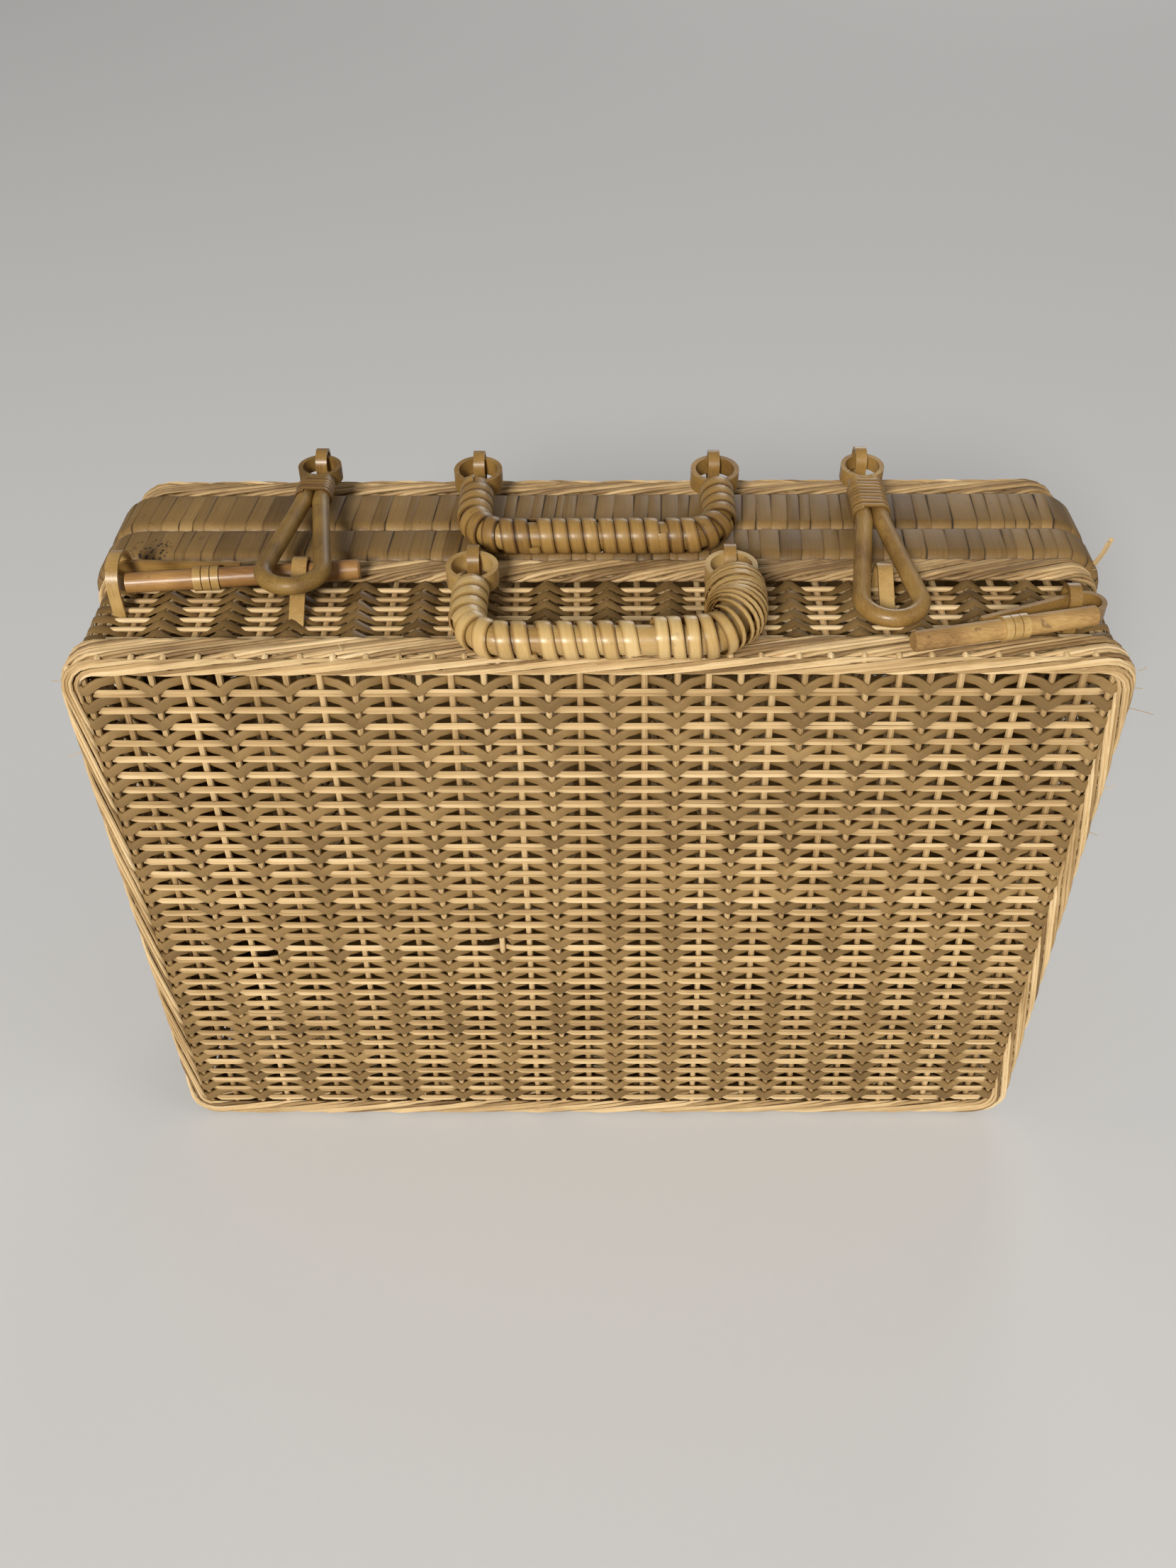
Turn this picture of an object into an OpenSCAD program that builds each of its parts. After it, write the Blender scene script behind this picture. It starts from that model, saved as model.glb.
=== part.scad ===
// Wicker picnic case: a deep woven base and a shallow lid, hinged along the edge it stands on.
// Millimetres, +Z up, the deep base towards -Y, the lid towards +Y.
// The origin is on the standing face, under the middle of the base rim.

/* [Case] */
// Outer width of the case
case_width = 430; // [380:5:480]
// Outer height of the case, standing on its hinge edge
case_height = 300; // [260:5:340]
// Depth of the woven wall and border in front of the base rim
base_wall = 75; // [60:1:110]
// Depth of the base's wrapped rim band
rim_depth = 24; // [18:1:32]
// Depth of the lid's wrapped rim band
lid_rim_depth = 30; // [22:1:36]
// Depth of the lid's woven border behind its rim band
lid_wall = 11; // [11:1:24]
// Thickness of the woven walls
wall_thick = 5; // [4:0.5:6]

/* [Weave] */
// Spacing of the stakes that the cane passes in front of
stake_pitch = 25.4; // [22:0.2:30]
// Rows of flat cane up each panel
panel_rows = 34; // [20:1:36]
// Rows of flat cane along the side wall
wall_rows = 6; // [3:1:8]
// Width of the flat cane
cane_width = 4.8; // [3:0.1:5]
// How far each cane dips at a stake
cane_dip = 4.2; // [2:0.1:6]

/* [Handles] */
// Spacing of the two eyes of a handle
eye_spacing = 106; // [96:1:120]
// Reach from the eyes' pivot to the middle of the grip
handle_reach = 55; // [48:1:60]
// Radius of the rattan core
core_radius = 6; // [5:0.1:6.5]
// Radius over the cane wrapping
wrap_radius = 7.8; // [7.2:0.1:8.2]
// Width of one turn of the wrapping
wrap_pitch = 6.6; // [4:0.2:9]

/* [Latches] */
// Position of the left hasp across the case
left_hasp_x = -124; // [-150:1:-100]
// Position of the right hasp across the case
right_hasp_x = 119; // [100:1:150]
// Length of the left hasp's bound neck
left_neck = 17; // [14:0.5:24]
// Length of the right hasp's bound neck
right_neck = 29; // [22:0.5:34]
// Radius of the hasp cane
hasp_radius = 3.7; // [3:0.1:3.7]
// Radius of the pegs
peg_radius = 4.2; // [3.4:0.1:4.4]

/* [Hidden] */
// Corner radii over the woven borders and over the rims
border_round = 16;
rim_round = 20;
// How far the rims stand out beyond the borders at the sides
rim_bulge = 5;
rim_width = case_width + 2 * rim_bulge;
// Inset of the woven wall behind its ropes, and of the rim's inner face
wall_inset = 6;
rim_inset = 13;
// Y of the seam, the face panel's front and the lid panel's back
seam_y = rim_depth / 2;
seam_gap = 0.4;
face_y = -(rim_depth / 2 + base_wall - 3);
lid_y0 = seam_y + seam_gap;
lid_y1 = lid_y0 + lid_rim_depth;
panel_y = lid_y1 + lid_wall;
// Height of the woven wall's outside at the top of the case
wall_top = case_height - wall_inset;
// Panel thickness, ridge height and rope strand radii
plate = 5;
ridge = 1.3;
strand = 3.2;
strand_lay = 4.15;
rope_width = 2 * (strand + strand_lay);
face_strand = 2;
// Spacing of the strands of a panel's rope, and their inset from the outer edge to the weave
face_lay = 2.7;
face_edge = 2.6 + 2 * face_lay + face_strand + 0.3;
// Openings across and up a panel, and the length of one
gaps_across = 11;
gaps_up = 10;
gap_length = 9;
// Flat cane loops that hold the eyes: width, thickness and inner radius
loop_width = 5;
loop_thick = 1.4;
loop_bore = 4.9;
// Eye rings: outer radius, wall and height
eye_radius = 10.8;
eye_wall = 2.2;
eye_height = 8;
hasp_eye_radius = 9.6;
hasp_eye_height = 6.6;
// Pivots of the handles and hasps
rear_pivot = [0, lid_y1 + 3.2, case_height + 12];
front_pivot = [2, -(rim_depth / 2 + 18), case_height + 9.6];
hasp_pivot_y = lid_y1 + 3.2;
hasp_pivot_z = case_height + 13.5;
// Resting tilts, nose down
rear_tilt = asin((rear_pivot.z - case_height - wrap_radius - 0.4) / handle_reach);
front_tilt = asin((front_pivot.z - case_height - wrap_radius - 0.4) / handle_reach);
left_tilt = 0.3;
right_tilt = 4.6;
// Hinge rod along the seam
hinge_z = 2.5;
hinge_y = seam_y + seam_gap / 2;
hinge_x = 120;
hinge_turn = 2.1;
hinge_rod = 1.1;
// Staples and pegs
staple_width = 6.2;
staple_thick = 1.5;
staple_bore = 5.2;
left_staple = [left_hasp_x + 1, -(rim_depth / 2 + 19.5), case_height + 4.6];
right_staple = [right_hasp_x + 0.5, -(rim_depth / 2 + 19.5), case_height + 0.8];
left_peg_length = 96;
right_peg_length = 77;
left_binding_at = 58;
right_binding_at = 37;
left_peg_skew = 6;
right_peg_skew = 13;
left_peg_tip = [-99, left_staple.y + 2.4, case_height + 4.7];
corner_x = case_width / 2 - 17;
// The right peg hangs on the leg of its corner strap, in the bend of its own strap
right_tether = [corner_x - 6, face_y + 25.3, case_height + 5.2];
right_hook = [right_peg_length - 4.4, 7.67];
right_peg_tip = right_tether - [right_hook.x * cos(right_peg_skew) - right_hook.y * sin(right_peg_skew),
    right_hook.x * sin(right_peg_skew) + right_hook.y * cos(right_peg_skew), 0];
slack = 0.05;

// Shared shapes

// Turns a plan drawn with the face upwards into the standing case
module stand() translate([0, 0, case_height / 2]) rotate([90, 0, 0]) children();

// Runs a profile round a rounded rectangle; the profile's x is r at the outer edge
module ring(w, h, r) {
    for (k = [0 : 3]) {
        a = k % 2 == 0 ? w : h;
        b = k % 2 == 0 ? h : w;
        rotate(-90 * k) {
            translate([r - a / 2, b / 2 - r, 0]) rotate([90, 0, 90]) linear_extrude(a - 2 * r) children();
            translate([a / 2 - r, b / 2 - r, 0]) rotate_extrude(angle = 90) children();
        }
    }
}

// Rounded rectangle
module plate_shape(w, h, r) {
    square([w - 2 * r, h], center = true);
    square([w, h - 2 * r], center = true);
    for (x = [-1, 1], y = [-1, 1]) translate([x * (w / 2 - r), y * (h / 2 - r)]) circle(r, $fn = 64);
}

// Rectangle with rounded corners on its outer (ro) and inner (ri) sides
module band_shape(x0, x1, y0, y1, ro, ri) {
    translate([x0 + ri, y0]) square([x1 - x0 - ri - ro, y1 - y0]);
    translate([x1 - ro - slack, y0 + ro]) square([ro + slack, y1 - y0 - 2 * ro]);
    translate([x0, y0 + ri]) square([ri + slack, y1 - y0 - 2 * ri]);
    for (y = [y0 + ro, y1 - ro]) translate([x1 - ro, y]) circle(ro, $fn = 48);
    for (y = [y0 + ri, y1 - ri]) translate([x0 + ri, y]) circle(ri, $fn = 48);
}

// Strands of a rope laid side by side on the outside of the wall
module wall_strands(y0, n) {
    intersection() {
        for (i = [0 : n - 1]) translate([border_round - 3, y0 + strand + i * strand_lay]) circle(strand, $fn = 40);
        translate([border_round - wall_inset, y0]) square([wall_inset, 60]);
    }
}

// Strands of a rope laid side by side on a panel's face, at y = 0
module panel_strands() {
    intersection() {
        for (i = [0 : 2]) translate([border_round - 2.6 - i * face_lay, 0.6]) circle(face_strand, $fn = 40);
        translate([border_round - face_edge, 0]) square([face_edge, 6]);
    }
}

// One row of flat cane: a zigzag that dips at every second stake
function zig_top(n, half) = [for (i = [-n : n])
    [i * half, (abs(i) % 2 == 0 ? -cane_dip / 2 : cane_dip / 2) + cane_width / 2]];
module cane_row(n, half) {
    top = zig_top(n, half);
    low = [for (i = [2 * n : -1 : 0]) [top[i].x, top[i].y - cane_width]];
    polygon(concat(top, low));
}

// Gap between two rows, along the slope of their canes
module gap_shape(high, slope) {
    d = gap_length / 2;
    polygon([[-d, -d * slope - high / 2], [d, d * slope - high / 2],
        [d, d * slope + high / 2], [-d, -d * slope + high / 2]]);
}

// Woven panel in plan: a plate with gaps and rows of zigzag cane ridges; z = 0 is the ridges' foot
module woven_panel() {
    w = case_width - 2 * wall_inset;
    h = case_height - 2 * wall_inset;
    half = stake_pitch / 2;
    n = floor((case_width / 2 - face_edge) / half);
    pitch = (case_height - 2 * face_edge - cane_width - cane_dip) / (panel_rows - 1);
    translate([0, 0, ridge - plate]) linear_extrude(plate - ridge) difference() {
        plate_shape(w, h, border_round - wall_inset);
        for (i = [0 : gaps_across - 1], j = [0 : gaps_up - 1]) {
            stake = 3 * (i - (gaps_across - 1) / 2);
            row = floor((j + 0.5) * panel_rows / gaps_up) - panel_rows / 2;
            translate([(stake + 0.5) * half, row * pitch])
                gap_shape(pitch - cane_width - 0.6, (stake % 2 == 0 ? cane_dip : -cane_dip) / half);
        }
    }
    for (j = [0 : panel_rows - 1]) translate([0, (j - (panel_rows - 1) / 2) * pitch, -0.5])
        linear_extrude(ridge + 0.5) cane_row(n, half);
}

// Rows of cane on the four sides of the wall, in plan, from y0 to y1
module wall_rows_on(w, h, r, y0, y1) {
    pitch = (y1 - y0) / wall_rows;
    for (k = [0 : 3], j = [0 : wall_rows - 1]) {
        a = k % 2 == 0 ? w : h;
        b = k % 2 == 0 ? h : w;
        n = floor((a / 2 - r) / (stake_pitch / 2));
        rotate(-90 * k) translate([0, b / 2 + ridge - 0.2, y0 + (j + 0.5) * pitch]) rotate([90, 0, 0])
            linear_extrude(ridge + 0.3) cane_row(n, stake_pitch / 2);
    }
}

// Path follower in the XY plane: steps are [straight, bend radius, bend angle]; a positive angle turns left
// Each straight is a hair thinner than the bends and runs a little into them, so that they join
module follow(steps, i = 0) {
    if (i < len(steps)) {
        s = steps[i];
        run = i == 0 ? 0 : slack;
        if (s[0] > 0) translate([-run, 0, 0]) rotate([90, 0, 90])
            linear_extrude(s[0] + run + (i == len(steps) - 1 ? 0 : slack)) scale(0.99) children();
        translate([s[0], 0, 0]) {
            if (s[2] > 0) translate([0, s[1], 0]) rotate(-90)
                rotate_extrude(angle = s[2]) translate([s[1], 0]) children();
            if (s[2] < 0) translate([0, -s[1], 0]) rotate(90 + s[2])
                rotate_extrude(angle = -s[2]) translate([s[1], 0]) children();
            translate([s[1] * sin(abs(s[2])), sign(s[2]) * s[1] * (1 - cos(s[2])), 0]) rotate(s[2])
                follow(steps, i + 1) children();
        }
    }
}

// Flat cane strap in the YZ plane, centred on its bore, from a rear foot over the top and forward
module strap(bore, width, thick, rear_foot, turn, front) {
    mid = bore + thick / 2;
    rotate([180, -90, 0]) translate([-rear_foot, -mid, 0])
        follow([[rear_foot, mid, turn], [front, 0, 0]]) square([thick, width], center = true);
}

// Upright loop whose feet end in the woven wall
module loop_at(pos, bore = loop_bore) {
    foot = pos.z - wall_top + 1.5;
    translate(pos) strap(bore, loop_width, loop_thick, foot, 180, foot);
}

// Staple with an upright rear leg and a sloping front leg
module staple_at(pos) {
    mid = staple_bore + staple_thick / 2;
    slope = 35;
    foot = pos.z - wall_top + 1.5;
    translate(pos) strap(staple_bore, staple_width, staple_thick, foot, 90 + slope,
        (foot + mid * cos(slope)) / sin(slope));
}

// Eye: a band of flat cane bent into a ring
module eye(r, wall, h) difference() {
    cylinder(r = r, h = h, center = true, $fn = 64);
    cylinder(r = r - wall, h = h + 2, center = true, $fn = 64);
}

// Handle in plan: the pivot is the origin and the grip lies towards +y
handle_bend = 15;
leg_start = 2 * eye_radius - eye_wall / 2 - 2;
leg_length = handle_reach - handle_bend - leg_start;
grip_length = eye_spacing - 2 * handle_bend;
module handle_core() {
    for (x = [-1, 1]) translate([x * eye_spacing / 2, eye_radius - eye_wall / 2, 0])
        eye(eye_radius, eye_wall, eye_height);
    translate([-eye_spacing / 2, leg_start, 0]) rotate(90)
        follow([[leg_length, handle_bend, -90], [grip_length, handle_bend, -90], [leg_length, 0, 0]])
            circle(core_radius, $fn = 48);
}

// Wrapping on a straight length: flat turns with a groove between them
module wrap_straight(len) {
    n = max(1, round(len / wrap_pitch));
    p = len / n;
    rotate([0, 90, 0]) rotate_extrude($fn = 64) polygon(concat([[core_radius, 0]],
        [for (i = [0 : n - 1], s = [0 : 2]) [s == 0 ? wrap_radius - 0.5 : wrap_radius,
            (i + [0, 0.12, 0.88][s]) * p]], [[wrap_radius - 0.5, len], [core_radius, len]]));
}

// Wrapping round a bend that turns right by 90 degrees
module wrap_bend() {
    translate([0, -handle_bend, 0]) {
        rotate_extrude(angle = 90) translate([handle_bend, 0]) difference() {
            circle(wrap_radius - 0.5, $fn = 48);
            circle(core_radius, $fn = 48);
        }
        for (i = [0 : 4]) rotate(18 * i + 1) rotate_extrude(angle = 16) translate([handle_bend, 0])
            difference() {
                circle(wrap_radius, $fn = 48);
                circle(wrap_radius - 0.8, $fn = 48);
            }
    }
}

// Hasp in plan: the pivot is the origin and the round end lies towards +y
hasp_wall = 2;
hasp_half = 3.75;
hasp_end = 12;
hasp_flare = 9;
limb_start = 2 * hasp_eye_radius - hasp_wall / 2 - 1.7;
module hasp_cane(neck) {
    limb = (hasp_end * cos(hasp_flare) - hasp_half - 16 * (1 - cos(hasp_flare))) / sin(hasp_flare);
    end_y = limb_start + neck + 16 * sin(hasp_flare) + limb * cos(hasp_flare) + hasp_end * sin(hasp_flare);
    translate([0, hasp_eye_radius - hasp_wall / 2, 0]) eye(hasp_eye_radius, hasp_wall, hasp_eye_height);
    for (m = [0, 1]) mirror([m, 0, 0]) translate([hasp_half, limb_start, 0]) rotate(90)
        follow([[neck, 16, -hasp_flare], [limb, 0, 0]]) circle(hasp_radius, $fn = 40);
    translate([0, end_y, 0]) rotate(-hasp_flare - 0.2) rotate_extrude(angle = 180.4 + 2 * hasp_flare)
        translate([hasp_end, 0]) circle(hasp_radius, $fn = 40);
}

// Cane turns that bind a hasp's neck
module hasp_turns(neck) {
    n = floor((neck - 4) / 2.6);
    translate([0, limb_start + 3.5, 0]) for (i = [0 : n - 1]) translate([0, i * 2.6, 0]) rotate([90, 0, 180])
        linear_extrude(2.6) difference() {
            g = hasp_radius + (i % 2 == 0 ? 1 : 0.7);
            union() {
                square([2 * hasp_half, 2 * g], center = true);
                for (x = [-1, 1]) translate([x * hasp_half, 0]) circle(g, $fn = 40);
            }
            for (x = [-1, 1]) translate([x * hasp_half, 0]) circle(hasp_radius, $fn = 40);
            square([2 * hasp_half, 2 * hasp_radius - 2], center = true);
        }
}

// Peg in plan: the tip is the origin, the rod runs to +x and its strap comes back on the +y side
peg_bend = 6.2;
peg_close = 8.8;
module peg_rod(len) {
    rotate([0, 90, 0]) {
        translate([0, 0, 0.8]) cylinder(r = peg_radius, h = len - 0.8, $fn = 48);
        cylinder(r1 = peg_radius - 0.8, r2 = peg_radius, h = 0.8, $fn = 48);
    }
}
module peg_strap(len) {
    translate([len, 0, 0]) follow([[0, peg_bend, 180 + peg_close], [46, 0, 0]]) square([2, 6], center = true);
}
module peg_binding(at, turns) {
    for (i = [0 : turns - 1]) translate([at + i * 3.6, 0, 0]) rotate([0, 90, 0]) difference() {
        cylinder(r = peg_radius + 0.9, h = 3.2, $fn = 48);
        translate([0, 0, -1]) cylinder(r = peg_radius, h = 6, $fn = 48);
    }
}

// Places a handle or hasp plan at its pivot, nose towards -Y and tilted down
module hang(pivot, tilt) translate(pivot) rotate([tilt, 0, 0]) rotate(180) children();

// Places a peg plan at its tip, running towards side (-1 left, 1 right)
module lay_peg(tip, side, skew) {
    if (side < 0) translate(tip) mirror([1, 0, 0]) rotate(-skew) children();
    else translate(tip) rotate(skew) children();
}

// Rim band: a wrapped hoop with grooves between its splints
function splint_x(i, seed) = i * 9.4 + 2.6 * sin(i * 137 + seed) + 1.4 * sin(i * 61 + 2 * seed);
module rim_band(y0, y1, seed) {
    h = case_height;
    difference() {
        ring(rim_width, h, rim_round)
            band_shape(rim_round - rim_inset, rim_round, y0, y1, 5, 2);
        for (k = [0 : 3]) {
            a = k % 2 == 0 ? rim_width : h;
            b = k % 2 == 0 ? h : rim_width;
            n = floor((a / 2 - rim_round) / 9.4);
            for (i = [-n : n]) rotate(-90 * k) translate([splint_x(i, seed + 40 * k), b / 2, (y0 + y1) / 2])
                cube([0.7, 1.2, y1 - y0 + 2], center = true);
        }
    }
}

// Flat hoop inside a rim's mouth
module rim_hoop(y0, y1) {
    ring(rim_width, case_height, rim_round)
        translate([rim_round - rim_inset - 2, y0]) square([2, y1 - y0]);
}

// Hinge turns: a cane turn round the rod with a tongue into its rim; side is -1 for the base, 1 for the lid
module hinge_turns(side, offsets) {
    for (x = [-1, 1], o = offsets) translate([x * hinge_x + o, hinge_y, hinge_z]) {
        difference() {
            union() {
                rotate([0, 90, 0]) cylinder(r = hinge_turn, h = 5, center = true, $fn = 40);
                translate([-2.5, side < 0 ? -9 : 0, hinge_turn - 0.9]) cube([5, 9, 0.9]);
            }
            rotate([0, 90, 0]) cylinder(r = hinge_rod + (side < 0 ? 0 : 0.1), h = 7, center = true, $fn = 40);
        }
    }
}
base_turns = [-13, 13];
lid_turns = [-6.5, 6.5];

// Room round the hinge rods, cut from both rims
module hinge_room() for (x = [-1, 1]) translate([x * hinge_x, hinge_y, hinge_z]) rotate([0, 90, 0])
    cylinder(r = hinge_turn + 0.3, h = 36, center = true, $fn = 40);

// Straps that are woven into the base and the lid
module base_straps() {
    left_staple_strap();
    right_staple_strap();
    left_corner_strap();
    right_corner_strap();
    front_loop_left();
    front_loop_right();
}
module lid_straps() {
    rear_loop_left();
    rear_loop_right();
    hasp_loop_left();
    hasp_loop_right();
}

// Base

module base_face_weave() color("tan") stand() translate([0, 0, -face_y]) woven_panel();

module base_side_weave() color("tan") difference() {
    y0 = rim_depth / 2;
    y1 = -face_y - plate + ridge;
    w = case_width - 2 * wall_inset;
    h = case_height - 2 * wall_inset;
    r = border_round - wall_inset;
    stand() {
        ring(w, h, r) translate([r - wall_thick, y0]) square([wall_thick, y1 - y0]);
        wall_rows_on(w, h, r, y0 + rope_width + 0.5, -face_y - rope_width - 0.3);
    }
    base_straps();
}

module base_wall_rope() color("burlywood") difference() {
    stand() ring(case_width, case_height, border_round) wall_strands(-face_y - rope_width, 3);
    base_straps();
}

module base_face_rope() color("burlywood") stand() translate([0, 0, -face_y])
    ring(case_width, case_height, border_round) panel_strands();

module base_rim_braid() color("burlywood") difference() {
    stand() ring(case_width, case_height, border_round) wall_strands(rim_depth / 2, 3);
    base_straps();
}

module base_rim_wrap() color("peru") difference() {
    stand() rim_band(-rim_depth / 2, rim_depth / 2, 20);
    base_hinge_turns();
    hinge_room();
}

module base_rim_hoop() color("peru") stand() rim_hoop(-rim_depth / 2 + 3, rim_depth / 2 - 3);

module left_staple_strap() color("goldenrod") staple_at(left_staple);

module right_staple_strap() color("goldenrod") staple_at(right_staple);

module left_corner_strap() color("goldenrod")
    loop_at([-corner_x, left_staple.y - 3.7, case_height + 4.5], 10.2);

module right_corner_strap() color("goldenrod")
    loop_at(right_tether + [0, loop_bore + loop_thick / 2, 0]);

module front_loop_left() color("goldenrod") loop_at(front_pivot - [eye_spacing / 2, 0, 0]);

module front_loop_right() color("goldenrod") loop_at(front_pivot + [eye_spacing / 2, 0, 0]);

module base_hinge_turns() color("goldenrod") hinge_turns(-1, base_turns);

module hinge_rods() color("sienna") for (x = [-1, 1]) translate([x * hinge_x, hinge_y, hinge_z])
    rotate([0, 90, 0]) cylinder(r = hinge_rod, h = 34, center = true, $fn = 40);

// Lid

module lid_panel_weave() color("tan") difference() {
    stand() translate([0, 0, -panel_y]) mirror([0, 0, 1]) woven_panel();
    lid_straps();
}

module lid_side_weave() color("tan") difference() {
    r = border_round - wall_inset;
    stand() ring(case_width - 2 * wall_inset, case_height - 2 * wall_inset, r)
        translate([r - wall_thick, -panel_y + plate - ridge])
            square([wall_thick, lid_wall - plate + ridge]);
    lid_straps();
}

module lid_edge_rope() color("burlywood") difference() {
    stand() ring(case_width, case_height, border_round) wall_strands(-panel_y, 2);
    lid_straps();
}

module lid_panel_rope() color("burlywood") stand() translate([0, 0, -panel_y]) mirror([0, 0, 1])
    ring(case_width, case_height, border_round) panel_strands();

module lid_rim_wrap() color("peru") difference() {
    stand() rim_band(-lid_y1, -lid_y0, 75);
    lid_straps();
    lid_hinge_turns();
    hinge_room();
}

module lid_rim_hoop() color("peru") stand() rim_hoop(-lid_y1 + 3, -lid_y0 - 3);

module rear_loop_left() color("goldenrod") loop_at(rear_pivot - [eye_spacing / 2, 0, 0]);

module rear_loop_right() color("goldenrod") loop_at(rear_pivot + [eye_spacing / 2, 0, 0]);

module hasp_loop_left() color("goldenrod") loop_at([left_hasp_x, hasp_pivot_y, hasp_pivot_z]);

module hasp_loop_right() color("goldenrod") loop_at([right_hasp_x, hasp_pivot_y, hasp_pivot_z]);

module lid_hinge_turns() color("goldenrod") hinge_turns(1, lid_turns);

// Handles

module front_handle_core() color("goldenrod") hang(front_pivot, front_tilt) handle_core();

// The wrapping ends at a bare length of core, beyond which it has come loose
module front_handle_wrap() color("gold") hang(front_pivot, front_tilt)
    mirror([1, 0, 0]) translate([-eye_spacing / 2, leg_start, 0]) rotate(90) {
        translate([2.5, 0, 0]) wrap_straight(leg_length - 2.5);
        translate([leg_length, 0, 0]) wrap_bend();
        translate([leg_length + handle_bend, -handle_bend, 0]) rotate(-90) wrap_straight(50);
    }

// Loose turns that stand off the core round the right-hand bend
module slack_shape(r) translate([0, r - core_radius]) difference() {
    circle(r + 0.9, $fn = 56);
    circle(r, $fn = 56);
}
module slack_turn(r) translate([-2.2, 0, 0]) rotate([90, 0, 90]) linear_extrude(4.4) slack_shape(r);
module front_handle_slack() color("gold") hang(front_pivot, front_tilt)
    translate([-eye_spacing / 2, leg_start, 0]) rotate(90) {
        translate([leg_length - 4, 0, 0]) slack_turn(10.2);
        translate([leg_length - 10, 0, 0]) slack_turn(9.6);
        translate([leg_length, -handle_bend, 0]) for (i = [0 : 3]) rotate(70 - 22 * i)
            rotate_extrude(angle = 16) translate([handle_bend, 0]) slack_shape(10.4 - 0.4 * i);
        translate([leg_length + handle_bend, -handle_bend - 5, 0]) rotate(-90) {
            slack_turn(8.6);
            translate([6, 0, 0]) slack_turn(8.2);
        }
    }

module rear_handle_core() color("goldenrod") hang(rear_pivot, rear_tilt) handle_core();

module rear_handle_wrap() color("gold") hang(rear_pivot, rear_tilt) for (m = [0, 1]) mirror([m, 0, 0])
    translate([-eye_spacing / 2, leg_start, 0]) rotate(90) {
        translate([2.5, 0, 0]) wrap_straight(leg_length - 2.5);
        translate([leg_length, 0, 0]) wrap_bend();
        translate([leg_length + handle_bend, -handle_bend, 0]) rotate(-90) wrap_straight(grip_length / 2);
    }

// Hasps

module left_hasp_cane() color("goldenrod")
    hang([left_hasp_x, hasp_pivot_y, hasp_pivot_z], left_tilt) hasp_cane(left_neck);

module left_hasp_binding() color("gold")
    hang([left_hasp_x, hasp_pivot_y, hasp_pivot_z], left_tilt) hasp_turns(left_neck);

module right_hasp_cane() color("goldenrod")
    hang([right_hasp_x, hasp_pivot_y, hasp_pivot_z], right_tilt) hasp_cane(right_neck);

module right_hasp_binding() color("gold")
    hang([right_hasp_x, hasp_pivot_y, hasp_pivot_z], right_tilt) hasp_turns(right_neck);

// Pegs

module left_peg_rod() color("sienna") lay_peg(left_peg_tip, -1, left_peg_skew) peg_rod(left_peg_length);

module left_peg_strap() color("goldenrod") lay_peg(left_peg_tip, -1, left_peg_skew)
    peg_strap(left_peg_length);

module left_peg_binding() color("gold") lay_peg(left_peg_tip, -1, left_peg_skew)
    peg_binding(left_binding_at, 3);

module right_peg_rod() color("sienna") lay_peg(right_peg_tip, 1, right_peg_skew)
    peg_rod(right_peg_length);

module right_peg_strap() color("goldenrod") lay_peg(right_peg_tip, 1, right_peg_skew)
    peg_strap(right_peg_length);

module right_peg_binding() color("gold") lay_peg(right_peg_tip, 1, right_peg_skew)
    peg_binding(right_binding_at, 3);

base_face_weave();
base_side_weave();
base_wall_rope();
base_face_rope();
base_rim_braid();
base_rim_wrap();
base_rim_hoop();
left_staple_strap();
right_staple_strap();
left_corner_strap();
right_corner_strap();
front_loop_left();
front_loop_right();
base_hinge_turns();
hinge_rods();
lid_panel_weave();
lid_side_weave();
lid_edge_rope();
lid_panel_rope();
lid_rim_wrap();
lid_rim_hoop();
rear_loop_left();
rear_loop_right();
hasp_loop_left();
hasp_loop_right();
lid_hinge_turns();
front_handle_core();
front_handle_wrap();
front_handle_slack();
rear_handle_core();
rear_handle_wrap();
left_hasp_cane();
left_hasp_binding();
right_hasp_cane();
right_hasp_binding();
left_peg_rod();
left_peg_strap();
left_peg_binding();
right_peg_rod();
right_peg_strap();
right_peg_binding();
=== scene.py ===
"""Looks of the wicker picnic case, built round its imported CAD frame.
Lengths are in millimetres until a mesh is made. The floor, the lights and the camera are in metres."""

import math

import bpy
import numpy as np
from mathutils import Matrix, Vector


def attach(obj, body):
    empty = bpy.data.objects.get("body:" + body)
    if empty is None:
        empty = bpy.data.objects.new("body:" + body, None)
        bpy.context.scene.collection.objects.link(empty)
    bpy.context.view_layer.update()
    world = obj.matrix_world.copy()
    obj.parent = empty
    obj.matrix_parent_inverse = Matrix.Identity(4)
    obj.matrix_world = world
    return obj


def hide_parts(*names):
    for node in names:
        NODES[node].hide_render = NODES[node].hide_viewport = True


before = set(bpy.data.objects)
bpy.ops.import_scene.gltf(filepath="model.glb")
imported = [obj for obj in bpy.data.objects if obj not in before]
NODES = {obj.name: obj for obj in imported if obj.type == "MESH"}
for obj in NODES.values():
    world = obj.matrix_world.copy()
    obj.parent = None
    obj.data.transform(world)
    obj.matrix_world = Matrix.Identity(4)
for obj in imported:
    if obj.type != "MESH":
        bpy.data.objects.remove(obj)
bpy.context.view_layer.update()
rng = np.random.RandomState(11)
MM_PER_M = 1000

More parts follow.
